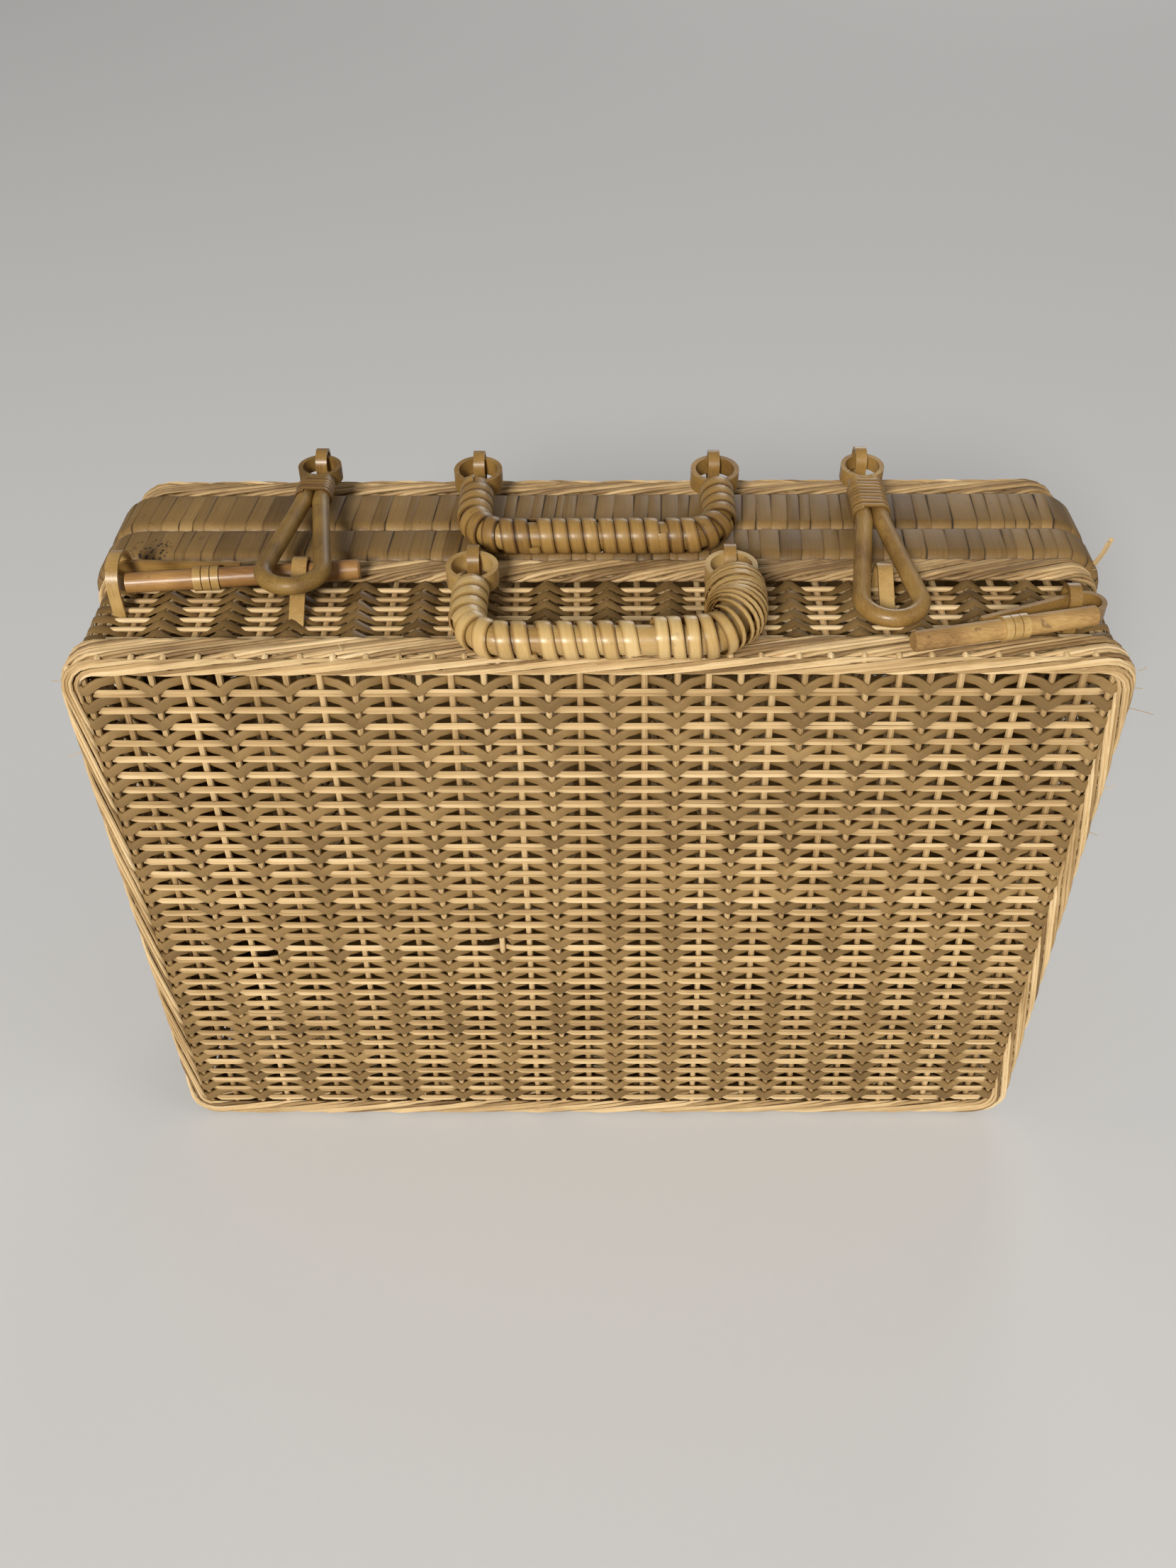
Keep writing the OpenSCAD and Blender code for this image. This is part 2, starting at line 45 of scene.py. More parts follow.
# Sizes that repeat the CAD source
WIDTH, HEIGHT = 430.0, 300.0
BORDER_ROUND, RIM_ROUND, RIM_BULGE, RIM_EDGE = 16.0, 20.0, 5.0, 5.0
FACE_Y, PANEL_Y, LID_Y0, LID_Y1, SEAM_Y = -84.0, 53.4, 12.4, 42.4, 12.0
EYE_SPACING, REACH, BEND, LEG_START, CORE = 106.0, 55.0, 15.0, 18.5, 6.0
FRONT_PIVOT, FRONT_TILT = (2, -30, 309.6), math.asin(1.4 / REACH)
REAR_PIVOT, REAR_TILT = (0, 45.6, 312), math.asin(3.8 / REACH)
LEFT_HASP, LEFT_TILT = (-124, 45.6, 313.5), math.radians(0.3)
RIGHT_HASP, RIGHT_TILT = (119, 45.6, 313.5), math.radians(4.6)
LIMB_R, LIMB_HALF, NECK_START, NECK_PITCH = 3.7, 3.75, 21.2, 2.6

# Weave: stakes to each side of a panel's middle, the step between them, a panel's rows, and the wall's stakes
STAKES, STAKE_STEP, ROWS, WALL_STAKES = 16, 12.8, 34, 108
# Heights of a panel's first row, of all its rows together, and of the two ends of its stakes
TOP_ROW, ROWS_HIGH, STAKE_ENDS = 282.4, 269.2, (8, 292)
# Depths of the wall's first row, the step to the next, their number, and the two ends of its stakes
WALL_FIRST, WALL_STEP, WALL_ROWS, WALL_ENDS = 28.9, 6.97, 7, (13, 82)
# How far the middle stakes stand to the right of an even spacing, and how much more so at a panel's lower right
WALL_BOW, PANEL_BOW, PANEL_LEAN = 4.5, 6.2, 6.0
# Depth of a panel's stakes below its outside, and how far, in stakes, its strands run on under the border
PANEL_DEPTH, TUCK = 1.7, 0.45
# Distances from an even stake, in stakes: where strands are sampled, and where the folds are given
FINE = (0.08, 0.18, 0.3, 0.45, 0.7, 1)
COARSE = (0.15, 0.4, 1)
AWAY = (0, 0.15, 0.3, 0.43, 0.7, 0.86, 1)
# A flat cane's heights and outward depths at AWAY, and how far the reeds push the stakes apart
FACE_FOLD = ((0.2, 1.7, 3.1, 4.1, 4.8, 4.4, 3.8), (2.4, 2.1, 1.8, 1.5, 1.0, -0.9, -2.1), 0.0)
WALL_FOLD = ((0.3, 1.0, 1.2, 1.0, 0.5, 0.1, -0.2), (4.8, 3.9, 2.9, 1.9, -0.2, -2.0, -3.4), 1.3)
# Distance of a reed's centre from a stake's, less its radius, and the share of a step in which it crosses over
STAKE_CLEAR, CROSSING = 1.6, 0.52

# Camera fitted to the photo: metres, degrees, and pixels for the focal length and the photo's height
CAMERA_AT, YAW, PITCH, ROLL = (0, -0.527, 0.6262), -0.50, 41.6, 0.45
FOCAL, PHOTO_HEIGHT, SENSOR = 1976.1, 2212, 36


# Mesh making

GRAIN_SHIFT = 900  # moves the grain of differently tinted strands apart
SHARP = math.radians(40)


class Strands:
    """Collects swept strands into one mesh, with a tint and grain coordinates on its points."""

    def __init__(self):
        self.verts, self.faces, self.tint, self.along, self.across = [], [], [], [], []
        self.count = 0

    def add(self, ring, tint, along, across, closed=False):
        """ring is an (n, m, 3) array: n sections of m points, each section's points going round the strand.
        tint has two dimensions, along has n values and across has m."""
        n, m = ring.shape[:2]
        index = self.count + np.arange(n * m).reshape(n, m)
        nxt = np.roll(index, -1, axis=1)
        if closed:
            a, b, an, bn = index, np.roll(index, -1, axis=0), nxt, np.roll(nxt, -1, axis=0)
        else:
            a, b, an, bn = index[:-1], index[1:], nxt[:-1], nxt[1:]
            self.faces.append(index[0].tolist())
            self.faces.append(index[-1][::-1].tolist())
        self.faces.extend(np.stack([a, b, bn, an], axis=-1).reshape(-1, 4).tolist())
        self.verts.append(ring.reshape(-1, 3))
        self.tint.append(np.broadcast_to(tint, (n, m)).ravel())
        self.along.append(np.broadcast_to(along[:, None], (n, m)).ravel())
        self.across.append(np.broadcast_to(across, (n, m)).ravel())
        self.count += n * m

    def sweep(self, pts, out, profile, tint, closed=False, edge=0.0):
        """Sweeps a closed profile of (across, out) points along pts.
        out is the outward direction, at each point or for all; edge darkens the two edges of a flat profile as
        painted shade, for the grooves between neighbouring strands."""
        out = np.broadcast_to(out, pts.shape)
        t = np.roll(pts, -1, 0) - np.roll(pts, 1, 0) if closed else np.gradient(pts, axis=0)
        t = t / np.linalg.norm(t, axis=1, keepdims=True)
        side = np.cross(t, out)
        side = side / np.linalg.norm(side, axis=1, keepdims=True)
        up = np.cross(side, t)
        ring = pts[:, None] + profile[:, :1] * side[:, None] + profile[:, 1:] * up[:, None]
        steps = np.linalg.norm(np.diff(pts, axis=0), axis=1)
        along = np.concatenate([[0], np.cumsum(steps)]) + GRAIN_SHIFT * float(np.mean(tint))
        across = profile[:, 0]
        # Painted shade: the two edges of a flat strand are darkened, standing for the shade in the grooves between
        # neighbouring strands.
        dark = edge * (np.abs(across) > 0.9 * np.abs(across).max())
        self.add(ring, np.reshape(tint, (-1, 1)) - dark, along, across, closed)

    def build(self, name, body, material, slot, *nodes):
        """Makes the mesh, on a body and in place of CAD nodes."""
        mesh = bpy.data.meshes.new(name)
        mesh.from_pydata((np.concatenate(self.verts) / MM_PER_M).tolist(), [], self.faces)
        for key in ("tint", "along", "across"):
            layer = mesh.attributes.new(key, "FLOAT", "POINT")
            layer.data.foreach_set("value", np.concatenate(getattr(self, key)).astype(np.float32))
        mesh.materials.append(material)
        mesh.shade_smooth()
        mesh.set_sharp_from_angle(angle=SHARP)
        mesh.update()
        obj = bpy.data.objects.new(name, mesh)
        bpy.context.scene.collection.objects.link(obj)
        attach(obj, body)
        if nodes:
            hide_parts(*nodes)


def circle(r, n):
    """Closed profile of a round reed with n sides."""
    a = np.arange(n) * 2 * math.pi / n
    return np.stack([r * np.cos(a), r * np.sin(a)], -1)


def flat_cane(width, thick, crown=0.3):
    """Closed profile of a flat cane with a crowned outside."""
    w, crest = width / 2, width / 2 * 0.55
    return np.array([(-w, -thick / 2), (w, -thick / 2), (w, thick / 2 - crown), (crest, thick / 2),
                     (-crest, thick / 2), (-w, thick / 2 - crown)])


def smooth_step(x):
    x = np.clip(x, 0, 1)
    return x * x * (3 - 2 * x)


def smooth_noise(n, cells, size, ring=False):
    """n smooth random values with about that many bumps; a ring's last value runs into its first."""
    knots = rng.uniform(-size, size, cells + 3)
    if ring:
        knots[cells:] = knots[:3]
    x = np.linspace(0, cells, n, endpoint=not ring)
    i = x.astype(int)
    f = smooth_step(x - i)
    return knots[i] * (1 - f) + knots[i + 1] * f


def loop_length(half_w, half_h, r):
    return 4 * (half_w - r) + 4 * (half_h - r) + 2 * math.pi * r


def loop(half_w, half_h, r, s):
    """Points (x, z) and outward normals at lengths s along a rounded rectangle, clockwise from its top middle."""
    w, h = half_w, half_h
    s = np.mod(np.asarray(s, float), loop_length(w, h, r))
    arc = r * math.pi / 2
    # Length, start or centre, direction of a straight, and first angle of a corner
    runs = [(w - r, (0, h), (1, 0), None), (arc, (w - r, h - r), None, 90),
            (2 * (h - r), (w, h - r), (0, -1), None), (arc, (w - r, r - h), None, 0),
            (2 * (w - r), (w - r, -h), (-1, 0), None), (arc, (r - w, r - h), None, -90),
            (2 * (h - r), (-w, r - h), (0, 1), None), (arc, (r - w, h - r), None, 180),
            (w - r, (r - w, h), (1, 0), None)]
    pos, nor = np.zeros(s.shape + (2,)), np.zeros(s.shape + (2,))
    start, slip = 0.0, 1e-9
    for length, at, go, turn in runs:
        here = (s >= start - slip) & (s <= start + length + slip)
        d = s[here] - start
        if go is not None:
            pos[here] = np.array(at) + d[:, None] * np.array(go)
            nor[here] = (-go[1], go[0])
        else:
            a = np.radians(turn - d / arc * 90)
            nor[here] = np.stack([np.cos(a), np.sin(a)], -1)
            pos[here] = np.array(at) + r * nor[here]
        start += length
    return pos + np.array([0, HEIGHT / 2]), nor


def border(inset):
    """Half width, half height and corner radius of the woven border at an inset from its outside."""
    return WIDTH / 2 - inset, HEIGHT / 2 - inset, BORDER_ROUND - inset


def oval(g, half, r):
    """Points at lengths g round an oval of two straights, each twice half long, and two ends of radius r.
    It goes from the left end of the upper straight to the right."""
    flat, bend = 2 * half, math.pi * r
    right, left = (g - flat) / r, (g - 2 * flat - bend) / r
    part = [g < flat, g < flat + bend, g < 2 * flat + bend]
    x = np.select(part, [g - half, half + r * np.sin(right), half - (g - flat - bend)],
                  -half - r * np.sin(left))
    up = r + 0 * g
    return x, np.select(part, [up, r * np.cos(right), -up], -r * np.cos(left))


def at_y(xz, y):
    """(x, z) points and a y as (x, y, z) points."""
    return np.stack([xz[..., 0], np.broadcast_to(y, xz.shape[:-1]), xz[..., 1]], -1)


# Materials

class Cane:
    """A cane material. colours run from dark to light with each strand's tint, with fibres along it and stains.
    grain names the axis that the fibres follow on a CAD solid, which has no strand coordinates.
    holes gives the centre and radius, in metres, of a patch of small worm holes, drawn only as dark dots of painted
    shade."""

    ALONG, ACROSS, TINT = 0.03, 2.2, 37.0  # scales of the fibres on a strand
    SOLID_ALONG, SOLID_ACROSS = 120, 1500  # and on a CAD solid
    PATCHES, STAINS, SPOTS, HOLES = 38, 26, 210, 520  # scales of the other textures
    # Colour that spots and holes darken towards: dirt for the spots, painted shade for the worm holes.
    DIRT_AND_HOLE_SHADE = (0.035, 0.02, 0.01, 1)

    def __init__(self, name, colours, rough, fibre=0.35, coat=0.0, grain=None, stain=0.35, bump=0.25,
                 spots=0.0, holes=None):
        self.mat = bpy.data.materials.new(name)
        self.mat.use_nodes = True
        self.tree = self.mat.node_tree
        shader = self.tree.nodes["Principled BSDF"]
        coords = self.node("TexCoord").outputs["Object"]
        if grain is None:
            tint = self.attribute("tint")
            place = self.node("CombineXYZ")
            parts = (self.attribute("along"), self.ALONG), (self.attribute("across"), self.ACROSS), (tint, self.TINT)
            for socket, (value, scale) in zip(place.inputs, parts):
                self.join(self.maths("MULTIPLY", value, scale), socket)
        else:
            place = self.node("Mapping")
            self.join(coords, place.inputs[0])
            place.inputs["Scale"].default_value = [self.SOLID_ALONG if axis == grain else self.SOLID_ACROSS
                                                   for axis in "XYZ"]
            tint = self.noise(coords, self.PATCHES, 2)
        fibres = self.noise(place.outputs[0], 1.0, 5)
        level = self.shift(self.shift(tint, fibres, fibre), self.noise(coords, self.STAINS, 6), stain)
        colour = self.tones(level, colours)
        if spots:
            tone_mask = self.ramped(self.noise(coords, self.SPOTS, 2), 0.66, 0.74)
            colour = self.darken(colour, self.maths("MULTIPLY", tone_mask, spots))
        if holes:
            # Painted shade: the worm holes are dark dots in the colour.
            colour = self.darken(colour, self.worm_hole_shade(coords, *holes))
        self.join(colour, shader.inputs["Base Color"])
        gloss = self.node("MapRange")
        gloss.inputs["To Min"].default_value = rough - 0.1
        gloss.inputs["To Max"].default_value = rough + 0.16
        self.join(fibres, gloss.inputs["Value"])
        self.join(gloss.outputs[0], shader.inputs["Roughness"])
        shader.inputs["Coat Weight"].default_value = coat
        shader.inputs["Coat Roughness"].default_value = 0.22
        shader.inputs["Specular IOR Level"].default_value = 0.4
        lift = self.node("Bump")
        lift.inputs["Strength"].default_value = bump
        lift.inputs["Distance"].default_value = 0.0004
        self.join(fibres, lift.inputs["Height"])
        self.join(lift.outputs[0], shader.inputs["Normal"])

    def node(self, kind):
        return self.tree.nodes.new("ShaderNode" + kind)

    def join(self, a, b):
        self.tree.links.new(a, b)

    def attribute(self, key):
        n = self.node("Attribute")
        n.attribute_name = key
        return n.outputs["Fac"]

    def maths(self, op, a, b):
        n = self.node("Math")
        n.operation = op
        self.join(a, n.inputs[0])
        if isinstance(b, (int, float)):
            n.inputs[1].default_value = b
        else:
            self.join(b, n.inputs[1])
        return n.outputs[0]

    def noise(self, vector, scale, detail):
        n = self.node("TexNoise")
        n.inputs["Scale"].default_value = scale
        n.inputs["Detail"].default_value = detail
        n.inputs["Roughness"].default_value = 0.62
        self.join(vector, n.inputs["Vector"])
        return n.outputs["Fac"]

    def shift(self, value, noise, size):
        """value moved up and down by a noise round 0.5."""
        return self.maths("ADD", value, self.maths("MULTIPLY", self.maths("SUBTRACT", noise, 0.5), size * 2))

    def ramped(self, value, low, high):
        """0 where value is low, 1 where it is high."""
        n = self.node("MapRange")
        n.inputs["From Min"].default_value = low
        n.inputs["From Max"].default_value = high
        self.join(value, n.inputs["Value"])
        return n.outputs[0]

    def tones(self, level, colours):
        """colours at even steps of level."""
        ramp = self.node("ValToRGB")
        elements = ramp.color_ramp.elements
        elements.remove(elements[1])
        for i, c in enumerate(colours):
            position = i / (len(colours) - 1)
            e = elements[0] if i == 0 else elements.new(position)
            e.position = position
            e.color = (*c, 1)
        self.join(level, ramp.inputs["Fac"])
        return ramp.outputs["Color"]

    def worm_hole_shade(self, coords, centre, radius):
        """1 in small holes near centre: the holes are drawn as dark dots, painted shade inside them."""
        near = self.node("VectorMath")
        near.operation = "DISTANCE"
        self.join(coords, near.inputs[0])
        near.inputs[1].default_value = centre
        cells = self.node("TexVoronoi")
        cells.inputs["Scale"].default_value = self.HOLES
        self.join(coords, cells.inputs["Vector"])
        inside = self.ramped(near.outputs["Value"], radius, radius * 0.6)
        return self.maths("MULTIPLY", self.ramped(cells.outputs["Distance"], 0.42, 0.32), inside)

    def darken(self, colour, amount):
        n = self.node("Mix")
        n.data_type = "RGBA"
        self.join(amount, n.inputs[0])
        self.join(colour, n.inputs[6])
        n.inputs[7].default_value = self.DIRT_AND_HOLE_SHADE
        return n.outputs[2]


TAN = [(0.070, 0.034, 0.009), (0.175, 0.102, 0.031), (0.275, 0.167, 0.058), (0.40, 0.258, 0.10)]
PALE = [(0.20, 0.115, 0.042), (0.46, 0.30, 0.132), (0.71, 0.51, 0.262), (0.90, 0.71, 0.43)]
SPLINT = [(0.085, 0.043, 0.011), (0.18, 0.103, 0.031), (0.27, 0.160, 0.052), (0.40, 0.255, 0.095)]
HONEY = [(0.17, 0.080, 0.020), (0.38, 0.225, 0.068), (0.58, 0.385, 0.145), (0.72, 0.53, 0.25)]
BROWN = [(0.08, 0.036, 0.009), (0.22, 0.118, 0.030), (0.36, 0.21, 0.058), (0.51, 0.33, 0.115)]
UMBER = [(0.06, 0.031, 0.007), (0.18, 0.100, 0.024), (0.30, 0.176, 0.042), (0.42, 0.26, 0.072)]
ROD = [(0.10, 0.042, 0.012), (0.29, 0.140, 0.042), (0.44, 0.240, 0.078), (0.56, 0.34, 0.13)]
BARK = [(0.14, 0.064, 0.018), (0.34, 0.190, 0.062), (0.51, 0.315, 0.112), (0.66, 0.46, 0.215)]
# Near black, for the rim under the splints: painted shade in the gaps between them.
RIM_GAP_SHADE = [(0.020, 0.012, 0.006), (0.05, 0.030, 0.013), (0.09, 0.055, 0.025)]
WORM_PATCH = ((-0.193, -0.006, 0.300), 0.010)

tan_cane = Cane("TanCane", TAN, 0.46, fibre=0.26, stain=0.30, coat=0.10).mat
pale_reed = Cane("PaleReed", PALE, 0.66, fibre=0.40, stain=0.24, bump=0.5).mat
rope_reed = Cane("RopeReed", PALE, 0.60, fibre=0.45, stain=0.36, bump=0.5).mat
splint = Cane("RimSplint", SPLINT, 0.55, fibre=0.34, stain=0.34, coat=0.05, spots=0.25, holes=WORM_PATCH).mat
honey = Cane("HoneyCane", HONEY, 0.34, fibre=0.26, stain=0.34, coat=0.3, spots=0.2).mat
brown = Cane("BrownCane", BROWN, 0.38, fibre=0.28, stain=0.42, coat=0.15, spots=0.3).mat
rim_gap_shade = Cane("RimGapShade", RIM_GAP_SHADE, 0.75, grain="Y").mat
tan_solid = Cane("TanSolid", TAN, 0.6, grain="X").mat
honey_solid = {axis: Cane("HoneySolid" + axis, HONEY, 0.32, coat=0.35, grain=axis, fibre=0.24, stain=0.42,
                          spots=0.25).mat for axis in "XZ"}
brown_solid = {axis: Cane("BrownSolid" + axis, BROWN, 0.36, coat=0.25, grain=axis, fibre=0.3, stain=0.42,
                          spots=0.3).mat for axis in "XYZ"}
umber_solid = Cane("UmberSolid", UMBER, 0.5, coat=0.1, grain="Y", fibre=0.35, stain=0.42, spots=0.3).mat
bark_solid = Cane("BarkSolid", BARK, 0.55, coat=0.08, grain="X", fibre=0.45, stain=0.6, spots=0.5,
                  bump=0.5).mat
rod_solid = Cane("RodSolid", ROD, 0.36, coat=0.25, grain="X", fibre=0.3, stain=0.42, spots=0.4).mat


def paint(mat, *names):
    """Gives CAD nodes a material."""
    for n in names:
        NODES[n].data.materials.clear()
        NODES[n].data.materials.append(mat)


# Woven walls

def stake_x(u, bow):
    """Place of stake u along a row: bow is how far the middle stake stands to the right of an even spacing."""
    return STAKE_STEP * u + bow * (1 - np.minimum(np.abs(u / STAKES), 1) ** 2.5)


def weave(name, body, node, place, span, rows, fine, fold, ring=False, breaks=(), tints=(0.42, 0.68),
          width=4.1, reed=0.88, pair=(-1, 1)):
    """place(u, v, d) gives points at stake number u, height v and outward depth d, and the outward directions.
    Flat canes of a width and of tints pass behind the odd stakes and fold over the front of the even ones.
    Round reeds of radius reed pass in front of the odd stakes and behind the even ones, with one for each of pair.
    rows are the heights of the reeds; breaks are (row, first stake, last stake) where a cane is missing.
    fine lists the sampled distances to each side of an even stake, and fold is described at the top."""
    canes, reeds = Strands(), Strands()
    first, last = span
    offsets = np.concatenate([-np.array(fine)[::-1], [0], np.array(fine)[:-1]])
    evens = range(int(2 * math.ceil(first / 2)), int(last) + (0 if ring else 1), 2)
    u = np.concatenate([even + offsets for even in evens])
    if not ring:
        u = np.concatenate([[first], u[(u > first + 0.05) & (u < last - 0.05)], [last]])
    n, cells = len(u), int(last - first)
    quick, slow = cells * 2, max(3, cells // 5)
    away = 1 - np.abs(np.mod(u, 2) - 1)

    def noise(size, bumps=cells):
        return smooth_noise(n, bumps, size, ring)

    rise, depth = np.interp(away, AWAY, fold[0]), np.interp(away, AWAY, fold[1])
    for j, v in enumerate(rows):
        high = v + rise * rng.uniform(0.9, 1.1) + noise(0.25) + noise(0.2, quick)
        pts, out = place(u, high, depth + noise(0.15, quick))
        tint = np.clip(rng.uniform(*tints) + noise(0.13) + noise(0.10, slow), 0.05, 0.98)
        profile = flat_cane(width + rng.uniform(-0.3, 0.25), 1.0)
        gone = [(a, b) for row, a, b in breaks if row == j]
        if not gone:
            canes.sweep(pts, out, profile, tint, closed=ring)
        for a, b in gone:
            for part in (u <= a, u >= b):
                canes.sweep(pts[part], out[part], profile, tint[part])
    most = STAKE_CLEAR + reed - fold[2]
    front = most * (2 * smooth_step(away / CROSSING) - 1)
    for v in rows:
        for k in pair:
            high = v + k * reed * 0.93 - 0.75 * (most - front) + noise(0.16) + noise(0.3, cells // 4)
            pts, out = place(u, high, front + noise(0.1))
            tint = np.clip(rng.uniform(0.3, 0.72) + noise(0.12, slow), 0.05, 0.98)
            reeds.sweep(pts, out, circle(reed * rng.uniform(0.92, 1.06), 6), tint, closed=ring)
    canes.build(name + "_canes", body, tan_cane, "tan_cane", node)
    reeds.build(name + "_reeds", body, pale_reed, "pale_reed", node)


def stakes(name, body, node, lines):
    """Upright round stakes along lines of (points, outward direction)."""
    made = Strands()
    for pts, out in lines:
        pts = pts + smooth_noise(len(pts), 6, 0.35)[:, None] * np.cross(out, pts[-1] - pts[0]) / HEIGHT
        made.sweep(pts, out, circle(rng.uniform(1.35, 1.55), 8), rng.uniform(0.25, 0.62))
    made.build(name, body, pale_reed, "pale_reed", node)


def panel_rows():
    """Heights of a panel's reeds, from the top down: the rows are packed more tightly lower down."""
    steps_down = np.linspace(8.75, 7.55, ROWS - 1) + rng.uniform(-0.2, 0.2, ROWS - 1)
    return TOP_ROW - np.concatenate([[0], np.cumsum(steps_down)]) * ROWS_HIGH / steps_down.sum()


def panel(name, body, node, surface, facing, fine, **how):
    """A panel with its outside at surface. facing is -1 for the face, towards -Y, and 1 for the lid's panel."""
    out = np.array([0.0, facing, 0.0])
    middle = surface - facing * PANEL_DEPTH

    def place(u, v, d):
        lean = PANEL_LEAN * smooth_step((u + 5) / 9) * (1 - v / HEIGHT)
        pts = np.stack(np.broadcast_arrays(stake_x(u, PANEL_BOW + lean), middle + facing * d, v), -1)
        return pts, np.broadcast_to(out, pts.shape)

    weave(name, body, node, place, (-STAKES - TUCK, STAKES + TUCK), panel_rows(), fine, FACE_FOLD, **how)
    high = np.linspace(*STAKE_ENDS, 24)
    numbers = range(-STAKES, STAKES + 1)
    stakes(name + "_stakes", body, node, [(place(np.full(24, float(i)), high, 0.0)[0], out) for i in numbers])


panel("face", "base", "base_face_weave", FACE_Y, -1, FINE, breaks=[(19, -12.9, -12.05), (18, -4.55, -3.7)])
panel("back", "lid", "lid_panel_weave", PANEL_Y, 1, COARSE, width=8.2, reed=1.3)


def base_wall():
    """The base's woven side wall, all the way round."""
    size = border(7.7)
    step = loop_length(*size) / WALL_STAKES

    def place(u, v, d):
        near = np.mod(u + WALL_STAKES / 2, WALL_STAKES) - WALL_STAKES / 2
        shift = np.where(np.abs(near) < STAKES, stake_x(near, WALL_BOW) - STAKE_STEP * near, 0)
        xz, nor = loop(*size, u * step + shift)
        out = at_y(nor, 0.0)
        return at_y(xz, -np.asarray(v)) + np.reshape(d, (-1, 1)) * out, out

    weave("wall", "base", "base_side_weave", place, (0, WALL_STAKES), WALL_FIRST + WALL_STEP * np.arange(WALL_ROWS),
          FINE, WALL_FOLD, ring=True, tints=(0.22, 0.47), width=4.2, reed=1.1, pair=(0,))
    deep = np.linspace(*WALL_ENDS, 8)
    lines = (place(np.full(8, float(i)), deep, WALL_FOLD[2] * (-1) ** i) for i in range(WALL_STAKES))
    stakes("wall_stakes", "base", "base_side_weave", [(pts, out[0]) for pts, out in lines])


base_wall()


# Ropes of the borders

def rope(name, body, node, inset, y, wide, thick, r, bundles, turns, facing=0, tint=(0.08, 0.72)):
    """Bundles of three reeds laid round a rounded rectangle as a flat rope.
    wide and thick are the half sizes of the path of each reed round the rope, and r is a reed's radius.
    facing is 0 for a rope on the wall, or the sign of a panel's outside in Y."""
    made = Strands()
    size = border(inset)
    total = loop_length(*size)
    n = turns * 26
    s = np.arange(n) * total / n
    xz, nor = loop(*size, s)
    normal = at_y(nor, 0.0)
    along_y = np.broadcast_to([0.0, 1.0, 0.0], normal.shape)
    out, side = (normal, along_y) if facing == 0 else (facing * along_y, normal)
    girth = 4 * (wide - thick) + 2 * math.pi * thick
    for k in range(3 * bundles):
        apart = (k // 3 + (k % 3) * 0.27) / bundles
        turn = -turns * s / total + apart + smooth_noise(n, turns * 3, 0.014, True)
        a, b = oval(np.mod(turn, 1) * girth, wide - thick, thick)
        b = b + smooth_noise(n, turns * 4, 0.28, True) + (0.25 if k % 3 == 1 else 0) * np.sign(b)
        pts = at_y(xz, y) - a[:, None] * side + b[:, None] * out
        shade = np.clip(rng.uniform(*tint) + smooth_noise(n, turns * 2, 0.15, True), 0.03, 0.98)
        made.sweep(pts, out, circle(r * rng.uniform(0.92, 1.06), 6), shade, closed=True)
    made.build(name, body, rope_reed, "pale_reed", node)


rope("wall_rope", "base", "base_wall_rope", 2.8, -75.9, 5.5, 1.5, 0.98, 4, 13)
rope("face_rope", "base", "base_face_rope", 4.8, FACE_Y - 0.5, 3.0, 1.15, 0.85, 3, 13, facing=-1)
rope("rim_braid", "base", "base_rim_braid", 2.8, -19.6, 5.6, 1.5, 0.98, 4, 17, tint=(0.02, 0.42))
rope("lid_rope", "lid", "lid_edge_rope", 2.8, 48.1, 4.1, 1.5, 0.98, 3, 15, tint=(0.0, 0.38))
rope("lid_face_rope", "lid", "lid_panel_rope", 4.8, PANEL_Y + 0.5, 3.0, 1.15, 0.85, 3, 13, facing=1)


def stake_ends():
    """Ends of the stakes where they turn over the front edge, between its two ropes."""
    made = Strands()
    size = border(3.2)
    step = loop_length(*size) / WALL_STAKES
    a = np.radians(np.linspace(-10, 100, 5))[:, None]
    for i in range(WALL_STAKES):
        xz, nor = loop(*size, np.full(5, i * step + rng.uniform(-1, 1)))
        out = at_y(nor, 0.0) * np.cos(a) + np.array([0, -1.0, 0]) * np.sin(a)
        made.sweep(at_y(xz, FACE_Y + 2.2) + 1.6 * out, out, circle(1.35, 7), rng.uniform(0.4, 0.85))
    made.build("stake_ends", "base", pale_reed, "pale_reed")


stake_ends()


# Splints wrapped round the rims

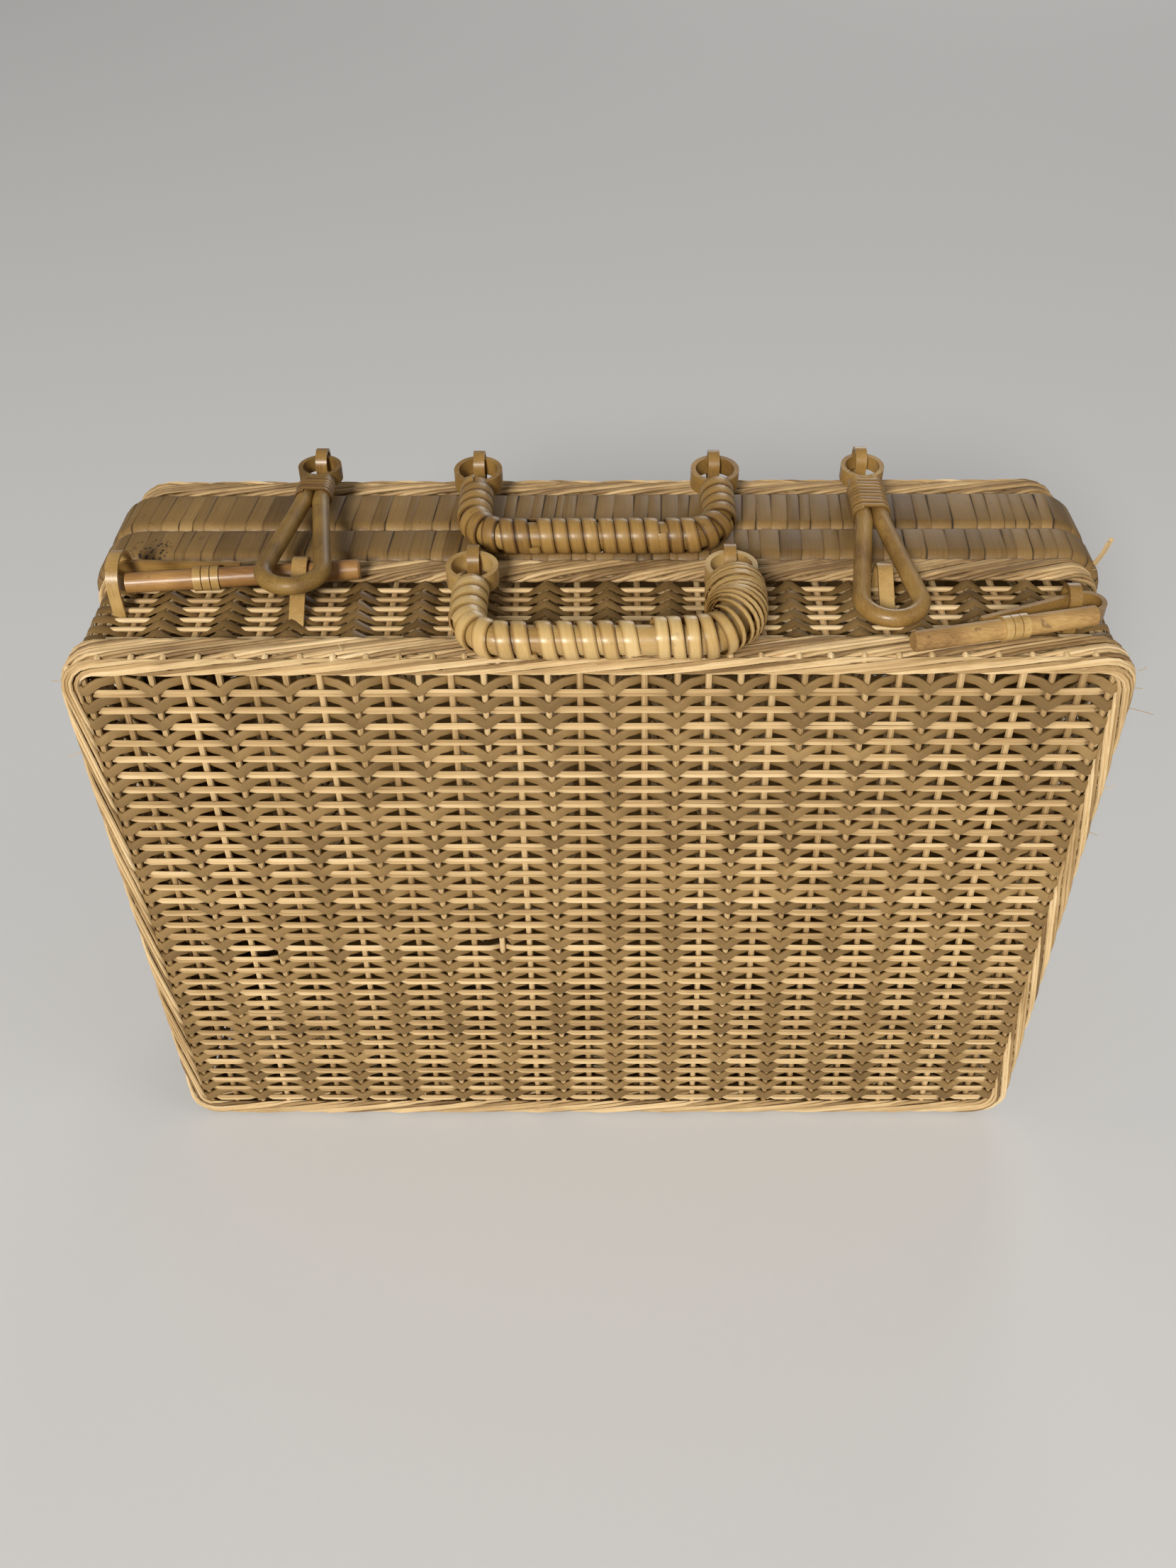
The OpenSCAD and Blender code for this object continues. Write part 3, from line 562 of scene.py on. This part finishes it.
def splints(name, body, y0, y1, seam_high, slant):
    """One splint at a time across the outside of a rim, from its border side to the edge of its seam.
    Beside the hinges they sink into the seam's edge, where the two rims meet when the lid is open."""
    made = Strands()
    size = (WIDTH / 2 + RIM_BULGE, HEIGHT / 2, RIM_ROUND)
    r, total = RIM_EDGE, loop_length(*size)
    # Across the rim: inset and y of each point, and the shares of a lift that go outward and along y
    arc = np.radians(np.linspace(0, 90, 6))
    low = [(10.5, y0, 0, -1), (7.5, y0, 0, -1)]
    low += [(r - r * math.sin(t), y0 + r - r * math.cos(t), math.sin(t), -math.cos(t)) for t in arc]
    high = [(r - r * math.cos(t), y1 - r + r * math.sin(t), math.cos(t), math.sin(t)) for t in arc]
    high += [(7.5, y1, 0, 1), (10.5, y1, 0, 1)]
    path = np.array((low + high)[:-2] if seam_high else (low + high)[2:])
    steps = np.concatenate([[0], np.cumsum(np.hypot(np.diff(path[:, 0]), np.diff(path[:, 1])))])
    # Nearness to the seam's edge across the rim: splints are drawn lighter there, a painted highlight along that
    # edge, and beside the hinges they sink into the rim.
    tone_mask = np.exp(-((path[:, 1] - (y1 if seam_high else y0)) / 2.2) ** 2)
    # Section of a splint: share of its width, and share of its lift
    cross = np.array([(0, -0.3), (1, -0.3), (1, 0.1), (0.92, 0.36), (0.5, 0.46), (0.08, 0.36), (0, 0.1)])
    # Painted shade: both edges of every splint are darkened, for the shade in the joins between splints.
    dark = 0.22 * (np.abs(cross[::-1, 0] - 0.5) > 0.45)
    s = 0.0
    while s < total - 3:
        width = min(rng.choice([4.5, 5.5, 7, 8.5, 10]) + rng.uniform(-1, 1), total - s)
        gap = rng.uniform(0.05, 0.14) if rng.rand() < 0.94 else rng.uniform(0.4, 0.7)
        lift = rng.uniform(0.6, 0.95)
        lean = (slant + rng.uniform(-0.03, 0.03)) * (path[:, 1] - (y0 + y1) / 2)
        lean = lean + smooth_noise(len(path), 4, 0.3)
        xz, nor = loop(*size, s + gap / 2 + cross[None, :, 0] * (width - gap) + lean[:, None])
        off = cross[None, :, 1] * lift
        off = np.where(path[:, :1] > 5.5, np.minimum(off, 0.16), off)
        off = np.where((xz[..., 1] < 8) & (tone_mask[:, None] > 0.005), np.minimum(off, -0.05), off)
        inset = path[:, None, 0] - off * path[:, None, 2]
        ring = at_y(xz - nor * inset[..., None], path[:, None, 1] + off * path[:, None, 3])[:, ::-1]
        tint = rng.normal(0.48, 0.08) - (0.2 if rng.rand() < 0.06 else 0)
        # Painted highlight: lighter towards the seam's edge.
        tint = np.clip(tint + rng.uniform(0.1, 0.4) * tone_mask, 0.05, 0.95)
        made.add(ring, tint[:, None] - dark, steps + GRAIN_SHIFT * tint[0], cross[::-1, 0] * width)
        s += width
    made.build(name, body, splint, "rim_splint")


splints("base_splints", "base", -SEAM_Y, SEAM_Y, True, 0.05)
splints("lid_splints", "lid", LID_Y0, LID_Y1, False, 0.06)
# The rims under the splints are near black: painted shade in the gaps between splints, and where splints sink in
# beside the hinges.
paint(rim_gap_shade, "base_rim_wrap", "lid_rim_wrap")
paint(tan_solid, "base_rim_hoop", "lid_rim_hoop", "lid_side_weave")


# Handles

def handle_path(step):
    """Lengths along a handle, its centre line in plan from the left leg to the right leg, and its whole length."""
    leg, grip, bend = REACH - BEND - LEG_START, EYE_SPACING - 2 * BEND, BEND * math.pi / 2
    total = 2 * leg + 2 * bend + grip
    s = np.linspace(0, total, int(total / step) + 1)
    half = np.minimum(s, total - s)
    turn = np.clip((half - leg) / BEND, 0, math.pi / 2)
    x = -EYE_SPACING / 2 + BEND - BEND * np.cos(turn) + np.maximum(half - leg - bend, 0)
    y = LEG_START + np.minimum(half, leg) + BEND * np.sin(turn)
    return s, np.stack([np.where(s < total / 2, x, -x), y], -1), total


def hang(pts, pivot, tilt):
    """Places plan points at a pivot, with the grip towards -Y and tilted down."""
    x, y, z = pts[..., 0], -pts[..., 1], pts[..., 2]
    c, s = math.cos(tilt), math.sin(tilt)
    return np.stack([x, y * c - z * s, y * s + z * c], -1) + np.array(pivot)


def wind(made, pivot, tilt, start, end, pitch, radius, width, tint, thick=1.0, loose=0.2, rest=0.0, phase=0.0):
    """A flat cane wound round a handle's centre line from start to end. radius is a list of radii along it.
    With rest, the turns hang on the core: it is the share of the slack that lifts them above it."""
    s, line, total = handle_path(0.25)
    turns = (end - start) / pitch
    n, bumps = max(8, int(turns * 22)), max(2, int(turns))
    d = np.clip(np.linspace(start, end, n) + smooth_noise(n, bumps, loose), 0, total)
    a = np.linspace(0, turns * 2 * math.pi, n) + phase
    go = np.stack([np.interp(d, s, np.gradient(line[:, k], s)) for k in (0, 1)], -1)
    go = go / np.linalg.norm(go, axis=1, keepdims=True)
    r = np.interp(np.linspace(0, 1, n), np.linspace(0, 1, len(radius)), radius)
    r = r + smooth_noise(n, max(2, int(turns * 2)), loose * 0.35)
    radial = np.stack([go[:, 1] * np.cos(a), -go[:, 0] * np.cos(a), np.sin(a)], -1)
    centre = np.stack([np.interp(d, s, line[:, 0]), np.interp(d, s, line[:, 1]),
                       rest * (r - CORE - thick / 2)], -1)
    shade = np.clip(tint + smooth_noise(n, bumps, 0.14), 0.03, 0.98)
    # The wound cane's edges get painted shade, the dark lines between its turns.
    made.sweep(hang(centre + radial * r[:, None], pivot, tilt), hang(radial, (0, 0, 0), tilt),
               flat_cane(width, thick, thick * 0.35), shade, edge=0.5)


def handles():
    """The wrapping of both handles, and the slack wrapping at the right of the front one."""
    span, margin, lengths = handle_path(1.0)[2], 2.5, 6
    close, slack_radius = [7.1, 7.2], [9.6, 11.6, 12.2, 11.8, 9.4]
    rear = Strands()
    for i in range(lengths):
        lo, hi = (margin + (span - 2 * margin) * k / lengths for k in (i, i + 1))
        wind(rear, REAR_PIVOT, REAR_TILT, lo, hi, 6.3, close, 5.9, rng.uniform(0.45, 0.72),
             phase=rng.uniform(0, 6))
    rear.build("rear_wrapping", "rear_handle", brown, "honey_cane", "rear_handle_wrap")
    front = Strands()
    for lo, hi, pitch, wide in ((margin, 27, 6.6, 6.1), (27, 55, 6.8, 6.0), (55, 95, 8.0, 5.8)):
        wind(front, FRONT_PIVOT, FRONT_TILT, lo, hi, pitch, close, wide, rng.uniform(0.55, 0.75), loose=0.35,
             phase=rng.uniform(0, 6))
    front.build("front_wrapping", "front_handle", honey, "honey_cane", "front_handle_wrap")
    slack = Strands()
    wind(slack, FRONT_PIVOT, FRONT_TILT, 104, 133, 5.7, [7.9, 9.0], 5.0, 0.70, thick=0.6, loose=0.5, rest=0.6)
    for lo, hi, phase in ((132, 147, 1.0), (140, span - 3, 3.0)):
        wind(slack, FRONT_PIVOT, FRONT_TILT, lo, hi, 1.8, slack_radius, 2.2, rng.uniform(0.5, 0.7),
             thick=0.45, loose=0.9, rest=0.9, phase=phase)
    slack.build("front_slack", "front_handle", honey, "honey_cane", "front_handle_slack")


handles()
paint(honey_solid["X"], "front_handle_core")
paint(brown_solid["X"], "rear_handle_core")


# Loose ends

SPLINTER_ROOT, SPLINTER_TIPS = (215.5, -7, 290), ((222.4, -4, 303), (219.5, -8.5, 304))
HAIRS = [(213, -84, 292), (214.5, -80, 270), (212, -85, 284), (214, -84, 230), (214, -78, 200), (-213, -84, 288),
         (-214, -82, 250), (62, 47, 299), (55, 46, 299), (-46, 48, 299), (-44, 47, 300), (-20, 48, 299),
         (150, 47, 299), (-100, -80, 299), (30, -84, 298), (105, -82, 298), (-160, 48, 299), (212, -18, 296)]


def frays():
    """A splinter of cane at the right end of the base's rim, and thin fibres that have come loose."""
    base, lid = Strands(), Strands()
    t = np.linspace(0, 1, 6)[:, None]
    for tip in SPLINTER_TIPS:
        pts = np.array(SPLINTER_ROOT) * (1 - t) + np.array(tip) * t + np.array([0.8, 0, 0]) * np.sin(math.pi * t)
        base.sweep(pts, np.array([0.5, -0.8, 0.3]), flat_cane(2.6, 0.7, 0.2), rng.uniform(0.5, 0.7))
    t = np.linspace(0, 1, 9)[:, None]
    for x, y, z in HAIRS:
        away = np.array([np.sign(x) * (abs(x) > 200), -0.5 if y < 0 else 0.4, 0.5 * (z > 260)])
        bend = rng.normal(0, 1, 3)
        pts = np.array((x, y, z)) + rng.uniform(3, 6) * (t * away + 0.5 * t * t * bend * [1, 0.5, 0.5])
        on = base if y < SEAM_Y else lid
        on.sweep(pts, np.array([0.31, 0.5, 0.81]), circle(0.13, 4), rng.uniform(0.3, 0.7))
    base.build("base_frays", "base", rope_reed, "pale_reed")
    lid.build("lid_frays", "lid", rope_reed, "pale_reed")


frays()


# Hasps

def neck_turns(side, pivot, tilt, turns, tint):
    """A narrow cane wound round the two limbs of a hasp's neck."""
    made = Strands()
    n = turns * 40
    r = LIMB_R + 0.42 + smooth_noise(n, turns * 3, 0.09)
    g = np.mod(np.linspace(0, turns, n), 1) * 2 * (2 * LIMB_HALF + math.pi * r)
    x, z = oval(g, LIMB_HALF, r)
    out_x = (x - np.clip(x, -LIMB_HALF, LIMB_HALF)) / r
    y = NECK_START + np.linspace(0, (turns - 1) * NECK_PITCH, n) + smooth_noise(n, turns, 0.22)
    shade = np.clip(tint + smooth_noise(n, turns, 0.16), 0.05, 0.95)
    # The cane's edges get painted shade, the dark lines between its turns.
    made.sweep(hang(np.stack([x, y, z], -1), pivot, tilt),
               hang(np.stack([out_x, np.zeros(n), z / r], -1), (0, 0, 0), tilt),
               flat_cane(2.5, 0.8), shade, edge=0.4)
    made.build(side + "_hasp_turns", side + "_hasp", brown, "honey_cane", side + "_hasp_binding")


neck_turns("left", LEFT_HASP, LEFT_TILT, 5, 0.36)
neck_turns("right", RIGHT_HASP, RIGHT_TILT, 9, 0.55)


# Loops, straps, the hasps' canes, pegs and hinges keep their solids
paint(brown_solid["Z"], "front_loop_left", "front_loop_right", "rear_loop_left", "rear_loop_right",
      "hasp_loop_left", "hasp_loop_right", "right_corner_strap")
paint(honey_solid["Z"], "left_corner_strap", "left_staple_strap", "right_staple_strap")
paint(umber_solid, "left_hasp_cane")
paint(brown_solid["Y"], "right_hasp_cane", "base_hinge_turns", "lid_hinge_turns")
paint(rod_solid, "left_peg_rod", "hinge_rods")
paint(bark_solid, "right_peg_rod")
paint(brown_solid["X"], "left_peg_strap", "right_peg_strap")
paint(honey_solid["X"], "left_peg_binding", "right_peg_binding")


# Floor, light and camera

def floor():
    """A plain pale floor, just under the standing face."""
    x, y0, y1, z = 4, -3, 5, -0.0008
    mesh = bpy.data.meshes.new("floor")
    mesh.from_pydata([(-x, y0, z), (x, y0, z), (x, y1, z), (-x, y1, z)], [], [(0, 1, 2, 3)])
    obj = bpy.data.objects.new("floor", mesh)
    bpy.context.scene.collection.objects.link(obj)
    mat = bpy.data.materials.new("Floor")
    mat.use_nodes = True
    shader = mat.node_tree.nodes["Principled BSDF"]
    shader.inputs["Base Color"].default_value = (0.70, 0.71, 0.72, 1)
    shader.inputs["Roughness"].default_value = 0.9
    mesh.materials.append(mat)


def area_light(name, at, target, size, power, colour):
    """A round soft light at a place, turned to a target."""
    data = bpy.data.lights.new(name, "AREA")
    data.shape, data.size, data.energy, data.color = "DISK", size, power, colour
    obj = bpy.data.objects.new(name, data)
    bpy.context.scene.collection.objects.link(obj)
    obj.location = at
    obj.rotation_mode = "QUATERNION"
    obj.rotation_quaternion = (Vector(target) - Vector(at)).to_track_quat("-Z", "Y")


floor()
area_light("key", (-1.2, -4.3, 2.9), (0, -0.05, 0.18), 1.3, 265, (1.0, 0.96, 0.90))
area_light("fill", (1.7, -0.8, 1.9), (0, 0, 0.2), 1.4, 5, (1.0, 0.98, 0.95))
area_light("back", (1.4, 5.4, 2.0), (0, 0.05, 0.15), 2.6, 60, (1.0, 0.98, 0.95))
world = bpy.data.worlds.new("World")
bpy.context.scene.world = world
world.use_nodes = True
background = world.node_tree.nodes["Background"]
background.inputs["Color"].default_value = (1.0, 0.985, 0.96, 1)
background.inputs["Strength"].default_value = 0.2


def camera():
    """A camera at the photo's place and angle."""
    data = bpy.data.cameras.new("camera")
    data.sensor_width = SENSOR
    data.sensor_fit = "AUTO"
    data.lens = FOCAL * SENSOR / PHOTO_HEIGHT
    obj = bpy.data.objects.new("camera", data)
    bpy.context.scene.collection.objects.link(obj)
    yaw, pitch, roll = (math.radians(a) for a in (YAW, PITCH, ROLL))
    ahead = Vector((math.sin(yaw) * math.cos(pitch), math.cos(yaw) * math.cos(pitch), -math.sin(pitch)))
    right = Vector((math.cos(yaw), -math.sin(yaw), 0))
    down = ahead.cross(right)
    across = math.cos(roll) * right + math.sin(roll) * down
    down = math.cos(roll) * down - math.sin(roll) * right
    axes = Matrix((across, -down, -ahead)).transposed().to_4x4()
    obj.matrix_world = Matrix.Translation(CAMERA_AT) @ axes
    bpy.context.scene.camera = obj


camera()
bpy.context.scene.view_settings.view_transform = "Standard"
